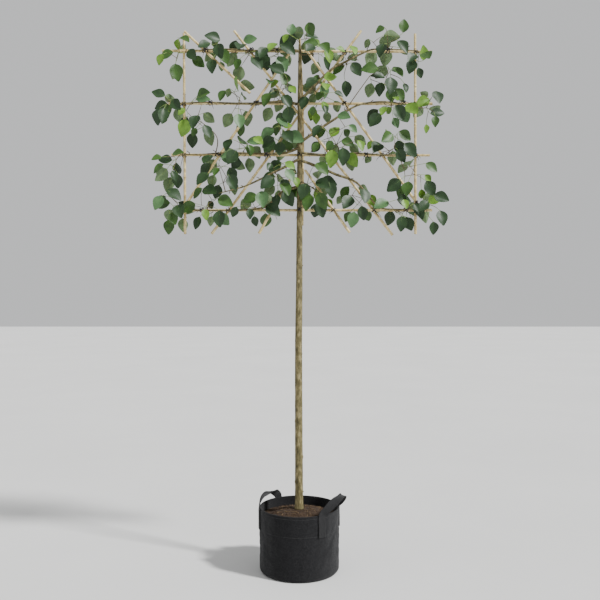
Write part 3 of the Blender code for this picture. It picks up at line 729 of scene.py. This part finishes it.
def caneShape(layer, points, rng):
    # the cane, the dark rings at its joints, and the cut ends with their hollow
    ends = [Vector((x, layers[layer], z)) for x, z in points]
    line = smoothPath(ends, 8) if len(ends) > 2 else ends
    length = sum((b - a).length for a, b in zip(line, line[1:]))
    joints = []
    place = rng.uniform(0.04, 0.14)
    while place < length - 0.02:
        joints.append(place)
        place += canes["jointSpacing"] * rng.uniform(0.8, 1.2)
    stops = {0.0, length}
    for at in joints:
        beside = {at + s for s in (-0.009, -0.0035, -0.0015, 0, 0.0015, 0.0035, 0.009)}
        stops |= {stop for stop in beside if 0 < stop < length}
    stops |= {k * canes["rowSpacing"] for k in range(1, int(length / canes["rowSpacing"]))}
    path, radii, rings = [], [], []
    for stop in sorted(stops):
        near = min((abs(stop - at) for at in joints), default=1)
        swell = canes["jointSwell"] * exp(-(near / canes["jointReach"]) ** 2)
        swell -= 0.0003 * exp(-((near - 0.009) / 0.004) ** 2)
        radius = canes["butt"] + (canes["tip"] - canes["butt"]) * stop / length
        path.append(pointAlong(line, stop))
        radii.append(radius - canes["skin"] + swell)
        if near < 1e-6:
            edge = (line[-1] - line[0]).normalized() * 0.0009
            rings.append(tube([path[-1] - edge, path[-1] + edge], [radii[-1] + 0.0002] * 2, canes["sides"]))
    plugs = []
    for k, beside in ((0, 1), (-1, -2)):
        way = (path[k] - path[beside]).normalized()
        cut = [path[k] - way * 0.001, path[k] + way * 0.0003]
        plugs.append(tube(cut, [radii[k] * 0.86] * 2, canes["sides"]))
        plugs.append(tube([path[k], path[k] + way * 0.0006], [radii[k] * canes["hollow"]] * 2, 12))
    return tube(path, radii, canes["sides"]), rings, plugs


jointRings, cutEnds = [], []
for name, (layer, *points) in canes["lines"].items():
    shape, rings, plugs = caneShape(layer, points, rng)
    newPiece("cane_" + name + "_bamboo", [shape], "bamboo", 35, ["cane_" + name])
    jointRings += rings
    cutEnds += plugs
newPiece("cane_joints", jointRings, "bamboo_joints", 35)
newPiece("cane_ends", cutEnds, "bamboo_ends", 35)
print("canes made")


# Ties of black twine at the crossings, each a few slanting loops with two knots and two tails

ties = {
    "thickness": 0.0012,
    "room": 0.0012,
    "tail": (0.012, 0.045),
    "knot": 0.0032,
    "boughFront": -0.0125,
    "crossings": (
        # a cane, then the canes that it is tied to
        ("post_left", "rail_2", "rail_3", "rail_4"), ("corner_left", "rail_1"),
        ("post_right", "rail_1", "rail_2", "rail_3", "rail_4"), ("long_falling", "rail_1"),
        ("long_rising", "rail_1"), ("wing_left", "rail_2"), ("wing_right", "rail_2"),
        ("wing_left", "rail_3"), ("long_rising", "rail_3"), ("long_falling", "rail_3"),
        ("wing_right", "rail_3"), ("long_rising", "rail_4"), ("short_left", "rail_4"),
        ("short_right", "rail_4"), ("long_falling", "rail_4"), ("post_middle", "rail_2"),
        ("wing_right", "post_right"), ("wing_left", "post_left"),
    ),
    "boughs": (
        # a rail, then the x of each tie of a bough to it
        ("rail_1", -0.215, -0.420, 0.400), ("rail_2", -0.190, -0.400, 0.470), ("rail_3", -0.370, 0.300),
        ("rail_4", -0.440, 0.480), ("rail_3", -0.150), ("rail_1", -0.100),
    ),
    "stem": (1.6165, 2.0985, 1.866),
}


def caneLine(name):
    layer, *points = canes["lines"][name]
    return layers[layer], Vector(points[0]), Vector(points[-1])


def crossingOf(nameA, nameB):
    # where two canes cross, seen from the front, and the depths of both
    depthA, a, b = caneLine(nameA)
    depthB, c, d = caneLine(nameB)
    r, s = b - a, d - c
    t = ((c.x - a.x) * s.y - (c.y - a.y) * s.x) / (r.x * s.y - r.y * s.x)
    return a + r * t, min(depthA, depthB), max(depthA, depthB)


def rounded(value):
    # makes a circle's cosine or sine that of a rounded square
    return copysign(abs(value) ** 0.7, value)


def loopShape(x, z, front, back, reach, slant, thick):
    # a rounded loop of twine in an upright plane that leans by a slant
    across = Vector((cos(slant), 0, sin(slant)))
    centre = Vector((x, (front + back) / 2, z))
    path = []
    for turn in fullTurn(24):
        deep = rounded(sin(turn)) * (back - front) / 2
        path.append(centre + across * rounded(cos(turn)) * reach + Vector((0, deep, 0)))
    path.append(path[0].copy())
    return tube(path, [thick] * len(path), 6)


def tieShapes(rng, x, z, front, back, reach):
    thick = ties["thickness"]
    shapes = []
    for slant in (45, 135):
        for spread in (-0.6, 0.6):
            lean = radians(slant + rng.uniform(-6, 6))
            shift = Vector((-sin(lean), cos(lean))) * thick * spread * 2
            shapes.append(loopShape(x + shift.x, z + shift.y, front, back, reach, lean, thick))
    knot = Vector((x, front - thick * 0.5, z))
    bulge = Vector((0, -0.0016, 0))
    for _ in range(2):
        turn = rng.uniform(0, pi)
        side = Vector((cos(turn), 0, sin(turn))) * ties["knot"]
        path = [knot - side, knot - side * 0.4 + bulge, knot + side * 0.4 + bulge, knot + side]
        shapes.append(tube(path, [0.0009, 0.0021, 0.0021, 0.0009], 7))
        length = rng.uniform(*ties["tail"])
        way = randomVector(rng, (-0.8, 0.8), (-0.5, 0), (-1, 0.1)).normalized()
        sag = Vector((0, 0, -length * 0.5))
        tail = [knot + way * length * t + sag * t * t for t in (0, 0.25, 0.5, 0.75, 1)]
        shapes.append(tube(tail, [thick * 0.9] * 4 + [thick * 0.5], 6))
    return shapes


tieMeshes = []
half = canes["butt"] + ties["room"]
for name, *others in ties["crossings"]:
    for other in others:
        spot, near, far = crossingOf(name, other)
        tieMeshes += tieShapes(rng, spot.x, spot.y, near - half, far + half, half + 0.0035)
for name, *spots in ties["boughs"]:
    depth, a, b = caneLine(name)
    for x in spots:
        z = a.y + (b.y - a.y) * (x - a.x) / (b.x - a.x)
        tieMeshes += tieShapes(rng, x, z, ties["boughFront"], depth + half, half + 0.003)
for z in ties["stem"]:
    centre, radius = trunkAt(z)
    front = centre.y - radius - ties["room"]
    tieMeshes += tieShapes(rng, centre.x, z, front, layers["rails"] + half, radius + 0.002)
newPiece("ties", tieMeshes, "tie_twine")
print("ties made")


# Leaves. They grow by the rule of the solid masses, in the same places, with more near the stem. Each is
# a folded, toothed blade with a pale underside, on a green stalk from a brown twig.

masses = {
    # name: carrier, centre (x, z), half width, half height, leaves
    "left_top_tip": ("left_top", (-0.540, 2.300), 0.085, 0.072, 8),
    "left_top_outer": ("left_top", (-0.369, 2.322), 0.062, 0.085, 7),
    "left_top_inner": ("left_top", (-0.241, 2.305), 0.078, 0.095, 8),
    "left_top_stem": ("left_top", (-0.095, 2.300), 0.068, 0.056, 6),
    "crown_top": ("trunk", (0.002, 2.395), 0.098, 0.046, 8),
    "left_upper_tip": ("left_upper", (-0.596, 2.088), 0.056, 0.076, 8),
    "left_upper_outer": ("left_middle", (-0.455, 2.030), 0.078, 0.105, 10),
    "left_upper_inner": ("left_upper", (-0.272, 2.098), 0.084, 0.100, 8),
    "left_upper_stem": ("left_upper", (-0.083, 2.110), 0.072, 0.125, 11),
    "left_middle_tip": ("left_middle", (-0.578, 1.806), 0.064, 0.078, 9),
    "left_middle_outer": ("left_slant", (-0.353, 1.780), 0.090, 0.085, 10),
    "left_middle_inner": ("left_middle", (-0.250, 1.880), 0.085, 0.070, 6),
    "left_middle_stem": ("left_middle", (-0.083, 1.925), 0.070, 0.070, 8),
    "left_lower_stem": ("left_slant", (-0.085, 1.735), 0.075, 0.095, 11),
    "left_bottom_tip": ("left_bottom", (-0.580, 1.612), 0.064, 0.090, 9),
    "left_bottom_outer": ("left_bottom", (-0.412, 1.622), 0.095, 0.080, 10),
    "left_bottom_inner": ("left_bottom", (-0.200, 1.622), 0.095, 0.060, 8),
    "right_top_stem": ("trunk", (0.095, 2.315), 0.070, 0.056, 5),
    "right_top_inner": ("right_top", (0.214, 2.265), 0.066, 0.085, 6),
    "right_top_outer": ("right_top", (0.398, 2.378), 0.105, 0.066, 9),
    "right_top_tip": ("right_top", (0.545, 2.290), 0.054, 0.056, 5),
    "right_upper_stem": ("right_top", (0.095, 2.125), 0.085, 0.100, 11),
    "right_upper_riser": ("right_upper", (0.394, 2.190), 0.105, 0.080, 10),
    "right_upper_outer": ("right_upper", (0.412, 2.062), 0.100, 0.058, 8),
    "right_upper_tip": ("right_upper", (0.598, 2.074), 0.060, 0.085, 7),
    "right_middle_outer": ("right_middle", (0.403, 1.890), 0.095, 0.085, 9),
    "right_middle_inner": ("right_middle", (0.175, 1.915), 0.110, 0.105, 12),
    "right_middle_tip": ("right_middle", (0.505, 1.745), 0.100, 0.085, 8),
    "right_lower_stem": ("trunk", (0.079, 1.710), 0.070, 0.105, 10),
    "right_lower_inner": ("right_slant", (0.265, 1.650), 0.088, 0.092, 9),
    "right_bottom_outer": ("right_slant", (0.435, 1.600), 0.105, 0.066, 9),
    "right_bottom_tip": ("right_slant", (0.592, 1.612), 0.050, 0.092, 6),
}
# longer stems that lead a mass away from its limb
stemWays = {
    "left_upper_outer": ((-0.374, 1.868), (-0.366, 1.922), (-0.384, 1.962), (-0.440, 2.008)),
    "right_upper_riser": ((0.200, 2.050), (0.259, 2.136), (0.317, 2.216)),
    "right_middle_tip": ((0.440, 1.862), (0.470, 1.800)),
    "right_lower_stem": ((0.010, 1.738), (0.060, 1.712), (0.100, 1.672)),
}
# leaves that mark the head's outermost points: tip (x, z) and the way the leaf points, in degrees
tipLeaves = {
    "crown_top": ((-0.030, 2.448, 80),),
    "right_top_outer": ((0.468, 2.462, 84),),
    "left_upper_tip": ((-0.658, 2.140, 160), (-0.656, 2.078, 195)),
    "right_upper_tip": ((0.662, 2.062, 5),),
    "left_top_tip": ((-0.628, 2.300, 200),),
    "left_middle_tip": ((-0.643, 1.850, 175),),
    "left_bottom_tip": ((-0.645, 1.632, 190), (-0.598, 1.508, 262)),
    "right_bottom_tip": ((0.607, 1.503, 275), (0.640, 1.680, 30)),
}
foliage = {
    "firstSeed": 11,
    "tintSeed": 9,
    # how many times the solids' leaves there are near the stem and further out
    "inner": 1.6,
    "outer": 1.15,
    "leafLength": (0.060, 0.082),
    "youngLength": (0.040, 0.056),
    "tipLength": (0.060, 0.070),
    "youngShare": 0.22,
    "depth": (-0.085, 0.095),
    "sway": 0.45,
    # the plain leaf that is tried for room: its width and its folds, as shares of its length
    "aspect": 0.74,
    "widest": 0.40,
    "shoulder": 0.74,
    "shoulderShare": 0.72,
    "fold": 0.10,
    "thickness": 0.0016,
    "clearance": 0.0008,
    "stub": 0.003,
    "stemRadius": 0.0024,
    "twigRadius": 0.0017,
    "stalkRadius": 0.0011,
    "rootShare": 0.45,
    "crook": 0.006,
    "nodeSpacing": 0.04,
    "stemForward": -0.012,
    "stalkLeast": 0.012,
    "stalkMost": 0.150,
    "stalkBends": 0.060,
    "stalkTurn": cos(radians(110)),
    "nearNodes": 5,
    "tries": 90,
    "goodTries": 9,
}


def acrossOf(along, facing):
    along = along.normalized()
    facing = (facing - along * facing.dot(along)).normalized()
    return along, along.cross(facing), facing


def stalkFrames(bends, along, across, facing):
    # the stalk's sides at each bend, carried back from the leaf without twist
    ways = [(b - a).normalized() for a, b in zip(bends, bends[1:])] + [along]
    mitres = [ways[0]] + [(a + b).normalized() for a, b in zip(ways, ways[1:])]
    frames = []
    seen, right, up = along, across, facing
    for mitre in reversed(mitres):
        turn = seen.rotation_difference(mitre)
        seen, right, up = mitre, turn @ right, turn @ up
        frames.insert(0, (right, up))
    return frames


def leafShape(bends, radii, along, facing, length, swell=0.0):
    # a three-sided stalk that opens into a plain folded leaf
    along, across, facing = acrossOf(along, facing)
    vertices = []
    for point, radius, (right, up) in zip(bends, radii, stalkFrames(bends, along, across, facing)):
        for turn in (radians(90), radians(210), radians(330)):
            vertices.append(point + (right * cos(turn) - up * sin(turn)) * (radius + swell))
    last = len(vertices) - 3
    faces = skinFaces(len(bends), 3)[:-1]
    width = length * foliage["aspect"] / 2 + swell
    fold = length * foliage["fold"]
    half = foliage["thickness"] / 2 + swell
    widest, shoulder, narrowed = foliage["widest"], foliage["shoulder"], width * foliage["shoulderShare"]
    corners = [(width, widest, fold), (narrowed, shoulder, fold * 0.6), (0, 1 + swell / length, -fold * 0.5),
               (-narrowed, shoulder, fold * 0.6), (-width, widest, fold), (0, 0.45, half), (0, 0.45, -half)]
    for side, reach, lift in corners:
        vertices.append(bends[-1] + across * side + along * reach * length + facing * lift)
    under, left, right, wideRight, farRight, tip, farLeft, wideLeft, top, bottom = range(last, last + 10)
    edge = [right, wideRight, farRight, tip, farLeft, wideLeft, left]
    faces += [(top, a, b) for a, b in zip(edge, edge[1:] + edge[:1])]
    faces += [(bottom, b, a) for a, b in zip(edge[1:5], edge[2:6])]
    faces += [(bottom, wideRight, under), (bottom, under, wideLeft)]
    faces += [(right, under, wideRight), (left, wideLeft, under)]
    return vertices, faces


def treeOf(shapes):
    vertices, faces = joined(shapes)
    return BVHTree.FromPolygons(vertices, faces) if faces else None


def touches(shape, trees):
    own = treeOf([shape])
    return any(tree and own.overlap(tree) for tree in trees)


def carrierLine(carrier):
    # centres and radii along the limb that carries a mass
    if carrier == "trunk":
        return [trunkAt(station[0]) for station in trunk["stations"]]
    line = boughs["lines"][carrier]
    path = boughPath(*line)
    return list(zip(path, taper(path, *line[:2])))


def stemRoot(carrier, near):
    # where a mass's stem starts, just off its limb, the way it leaves and its radius
    line = carrierLine(carrier)
    best = None
    for (a, ra), (b, rb) in zip(line, line[1:]):
        step = b - a
        t = clamped((near - a).dot(step) / step.length_squared)
        point = a + step * t
        if best is None or (near - point).length < best[0]:
            best = ((near - point).length, point, ra + (rb - ra) * t, step.normalized())
    _, point, radius, step = best
    tip, tipRadius = line[-1]
    if (point - tip).length < 0.002:
        return tip + step * boughs["gap"] * 2, step, min(tipRadius, foliage["stemRadius"])
    away = near - point
    away -= step * away.dot(step)
    away.normalize()
    return point + away * (radius + boughs["gap"] * 2), away, foliage["stemRadius"]


def leafCandidate(rng, spec, heart):
    # a leaf's foot, the ways it points and faces, and its length
    _, (x, z), halfWide, halfTall, _ = spec
    turn = rng.uniform(0, tau)
    reach = sqrt(rng.random())
    young = rng.random() < foliage["youngShare"]
    length = rng.uniform(*foliage["youngLength" if young else "leafLength"])
    depth = rng.uniform(*foliage["depth"])
    centre = Vector((x + reach * cos(turn) * halfWide, depth, z + reach * sin(turn) * halfTall))
    outward = centre - heart
    outward.y *= 0.4
    outward.normalize()
    sway = randomVector(rng, (-1, 1), (-0.6, 0.6), (-1, 1)) * foliage["sway"]
    along = (outward * 0.75 + Vector((0, 0, -0.8)) + sway).normalized()
    side = -1 if centre.y < 0.03 or rng.random() < 0.35 else 1
    facing = Vector((rng.uniform(-0.5, 0.5), side, rng.uniform(0.0, 0.8)))
    return centre - along * length / 2, along, facing, length


def tipLeaf(rng, tipX, tipZ, degrees):
    turn = radians(degrees)
    along = Vector((cos(turn), rng.uniform(-0.15, 0.15), sin(turn))).normalized()
    length = rng.uniform(*foliage["tipLength"])
    tip = Vector((tipX, rng.uniform(-0.05, 0.02), tipZ))
    return tip - along * length, along, Vector((0.1, -1, 0.4)), length


def findStalk(rng, nodes, base, along, blocked):
    # the shortest stalk to a leaf's foot that is clear and doesn't bend back
    for start, thick in sorted(nodes, key=lambda node: (node[0] - base).length)[:foliage["nearNodes"]]:
        reach = (base - start).length
        if not foliage["stalkLeast"] < reach < foliage["stalkMost"]:
            continue
        bends = [start, base]
        radii = [thick * foliage["rootShare"], foliage["stalkRadius"]]
        if reach > foliage["stalkBends"]:
            crook = randomVector(rng, (-1, 1), (-1, 1), (-1, 1)) * foliage["crook"]
            bends.insert(1, start.lerp(base, 0.6) - along * 0.006 + crook)
            radii.insert(1, (foliage["twigRadius"] + foliage["stalkRadius"]) / 2)
        if (bends[-1] - bends[-2]).normalized().dot(along) < foliage["stalkTurn"]:
            continue
        if not touches(tube(bends, [r + foliage["clearance"] for r in radii], 3), blocked):
            return bends, radii
    return None


def growStem(name, carrier, heart):
    # a mass's stem, the places where stalks may leave it, and its path
    way = [Vector((x, foliage["stemForward"], z)) for x, z in stemWays.get(name, ())]
    start, away, thick = stemRoot(carrier, way[0] if way else heart)
    first = start + away * 0.010
    inward = first + (heart - first) * 0.4 + Vector((0, foliage["stemForward"] / 2, 0))
    path = [start, first] + (way[1:] or [inward])
    radii = taper(path, thick, foliage["twigRadius"])
    points = list(zip(path, radii))
    end = path[-1] - (path[-1] - path[-2]).normalized() * radii[-1]
    nodes = points[1:-1] + [(end, radii[-1])]
    for (a, ra), (b, rb) in zip(points[1:], points[2:]):
        if (b - a).length > foliage["nodeSpacing"]:
            nodes.append(((a + b) / 2, (ra + rb) / 2))
    return tube(path, radii, 3, away), nodes, path


def growMass(name, seed, limbs, others):
    # plain shapes that later masses keep clear of, the stem's path, and each leaf's stalk, ways and length
    spec = masses[name]
    carrier, (x, z), _, _, count = spec
    count = round(count * foliage["inner" if name.endswith(("stem", "middle_inner")) else "outer"])
    rng = random.Random(seed)
    heart = Vector((x, 0, z))
    stem, nodes, stemPath = growStem(name, carrier, heart)
    shapes, blades, leaves = [stem], [], []
    tips = [tipLeaf(rng, *tip) for tip in tipLeaves.get(name, ())]
    stubRadii = [foliage["stalkRadius"]] * 2
    for k in range(count):
        fixed = tips[k] if k < len(tips) else None
        free = [limbs, others, treeOf(blades)]
        taken = free + [treeOf(shapes)]
        found = []
        for _ in range(foliage["tries"]):
            base, along, facing, length = fixed or leafCandidate(rng, spec, heart)
            if fixed:
                base = base + Vector((0, rng.uniform(-0.04, 0.04), 0))
            stub = [base - along * foliage["stub"], base]
            if touches(leafShape(stub, stubRadii, along, facing, length, foliage["clearance"]), taken):
                continue
            stalk = findStalk(rng, nodes, base, along, free)
            if not stalk:
                continue
            middle = base + along * length / 2
            room = min(((middle - seen[0][-1]).length for seen in blades), default=1)
            found.append((room, stalk, (along, facing, length), stub))
            if fixed or len(found) == foliage["goodTries"]:
                break
        if not found:
            continue
        _, (bends, radii), leaf, stub = max(found, key=lambda option: option[0])
        shapes.append(leafShape(bends, radii, *leaf))
        blades.append(leafShape(stub, stubRadii, *leaf))
        leaves.append((bends, *leaf))
        if (bends[-1] - bends[0]).length > foliage["stalkBends"] / 2:
            nodes.append((bends[-2].lerp(bends[-1], 0.5), radii[-1]))
        nodes += list(zip(bends[1:-1], radii[1:-1]))
    return shapes, (stemPath, leaves)


blade = {
    "rows": 20,
    "columns": (-1, -0.55, 0, 0.55, 1),
    "veinColumn": 0.55,
    "aspect": 0.72,
    "widest": 0.90,
    "fullness": 0.80,
    "tooth": 0.020,
    "toothed": (0.08, 0.97),
    "thickness": 0.0005,
    "droop": 0.16,
    "ripple": 0.016,
    "veins": 0.0006,
    "rib": 0.0009,
    "twigRadii": (0.0015, 0.0011),
    "stalkRadii": (0.0011, 0.0009),
}
# the share of the leaves that takes each tint
tints = {"dark": 0.46, "mid": 0.34, "soft": 0.12, "young": 0.08}


def halfWidth(t):
    # ovate: quick to swell from the stalk, widest before the middle, drawn out to a point
    swell = sin(pi * t ** blade["widest"]) ** blade["fullness"] if 0 < t < 1 else 0
    return swell * blade["aspect"] / 2


def bladeShapes(rng, base, along, facing, length):
    # the upper and lower skins of one leaf, and its raised midrib
    along, across, facing = acrossOf(along, facing)
    lean = rng.uniform(-0.05, 0.05)
    droop = blade["droop"] * rng.uniform(0.3, 1.3)
    phase = rng.uniform(0, tau)
    fold = foliage["fold"] * rng.uniform(0.6, 1.5)
    rows, size = blade["rows"], len(blade["columns"])
    first, last = blade["toothed"]
    grid = []
    for k in range(rows + 1):
        t = k / rows
        arc = sin(pi * t)
        half = halfWidth(t) * length
        tooth = blade["tooth"] * length if k % 2 and first < t < last else 0
        for side in blade["columns"]:
            out = abs(side)
            wide = side * (half + (tooth if out == 1 else 0))
            lift = out ** 1.2 * half / 0.3 * fold
            lift += sin(t * 9 + phase + side * 1.3) * blade["ripple"] * length * out * arc
            if out == blade["veinColumn"]:
                lift += -blade["veins"] if k % 2 else blade["veins"]
            reach = t * length * (1 - 0.06 * out * arc)
            point = base + along * reach + across * (wide + lean * length * t * t)
            grid.append(point + facing * (lift - droop * length * t ** 2.2))
    skin = facing * blade["thickness"] / 2
    corners = [k * size + s for k in range(rows) for s in range(size - 1)]
    upFaces = [(a, a + 1, a + size + 1, a + size) for a in corners]
    downFaces = [(a, a + size, a + size + 1, a + 1) for a in corners]
    middle = [p - facing * 0.0003 for p in grid[size // 2::size][:-1:2]]
    ribs = [blade["rib"] * (1 - 0.85 * k / len(middle)) for k in range(len(middle))]
    return ([p + skin for p in grid], upFaces), ([p - skin for p in grid], downFaces), tube(middle, ribs, 5)


def dressMass(rng, stemPath, leaves, pools):
    # fine twigs, stalks and leaves for one mass, with tints dealt by spray
    path = smoothPath(stemPath, 4)
    pools["twigs"].append(tube(path, taper(path, foliage["stemRadius"], foliage["twigRadius"]), 8))
    spray = rng.random()
    for bends, along, facing, length in leaves:
        woody = 0
        if len(bends) > 2:
            route = smoothPath(bends, 5)
            woody = len(route) * 3 // 5
            pools["twigs"].append(tube(route[:woody + 1], taper(route[:woody + 1], *blade["twigRadii"]), 6))
        else:
            sag = bends[0].lerp(bends[1], 0.5) - along.normalized() * 0.002
            route = smoothPath([bends[0], sag, bends[1]], 4)
        pools["stalks"].append(tube(route[woody:], taper(route[woody:], *blade["stalkRadii"]), 6))
        pick = (spray + rng.random() * 0.85) % 1
        for tint, share in tints.items():
            if pick < share:
                break
            pick -= share
        if length < foliage["leafLength"][0] and rng.random() < 0.3:
            tint = "young"
        upper, lower, rib = bladeShapes(rng, bends[-1], along, facing, length)
        pools[tint].append(upper)
        pools["underside"].append(lower)
        pools["stalks"].append(rib)


limbs = []
for name, solid in solids.items():
    if name == "trunk" or name.startswith(("cane", "bough")):
        mesh = solid.data
        limbs.append(([v.co.copy() for v in mesh.vertices], [tuple(p.vertices) for p in mesh.polygons]))
limbTree = treeOf(limbs)
grown, growth = [], []
for k, name in enumerate(masses):
    shapes, parts = growMass(name, foliage["firstSeed"] + k, limbTree, treeOf(grown))
    grown += shapes
    growth.append(parts)
print("foliage grown:", sum(len(leaves) for _, leaves in growth), "leaves")
pools = {key: [] for key in (*tints, "underside", "stalks", "twigs")}
rng = random.Random(foliage["tintSeed"])
for stemPath, leaves in growth:
    dressMass(rng, stemPath, leaves, pools)
for tint in tints:
    newPiece("leaves_" + tint, pools[tint], "leaf_" + tint, 60)
massNodes = ["leaves_" + name for name in masses]
newPiece("leaves_underside", pools["underside"], "leaf_underside", 60, massNodes)
newPiece("leaf_stalks", pools["stalks"], "leaf_stalks")
newPiece("twigs", pools["twigs"], "twig_bark")
print("leaves made")


# Pale floor, soft light and the camera

studio = {
    "floorHalf": 30.0,
    "sky": {"Color": (0.93, 0.94, 0.95, 1), "Strength": 0.72},
    "sun": {"energy": 6.0, "angle": radians(6)},
    "sunFrom": (0.78, -0.42, 0.86),
    "fill": {"energy": 18, "size": 3.0},
    "fillPlace": (-2.6, -2.8, 2.6),
    "fillAim": (0, 0, 1.3),
    "camera": {"lens": 44.0, "sensor_width": 36.0},
    "cameraPlace": (0.003, -3.30, 1.21),
}


def equipped(data, values):
    for key, value in values.items():
        setattr(data, key, value)
    return data


def makeStudio():
    half = studio["floorHalf"]
    corners = [(-half, -half, 0), (half, -half, 0), (half, half, 0), (-half, half, 0)]
    placed("floor", meshOf("floor", corners, [(0, 1, 2, 3)], "floor"))
    scene = bpy.context.scene
    scene.world = bpy.data.worlds.new("sky")
    scene.world.use_nodes = True
    setInputs(scene.world.node_tree.nodes["Background"], studio["sky"])
    sun = equipped(bpy.data.lights.new("sun", "SUN"), studio["sun"])
    placed("sun", sun, back=Vector(studio["sunFrom"]))
    fill = equipped(bpy.data.lights.new("fill", "AREA"), studio["fill"])
    place = Vector(studio["fillPlace"])
    placed("fill", fill, place, place - Vector(studio["fillAim"]))
    lens = equipped(bpy.data.cameras.new("camera"), studio["camera"])
    scene.camera = placed("camera", lens, studio["cameraPlace"])
    scene.camera.rotation_euler = (radians(90), 0, 0)


makeStudio()
print("studio made")
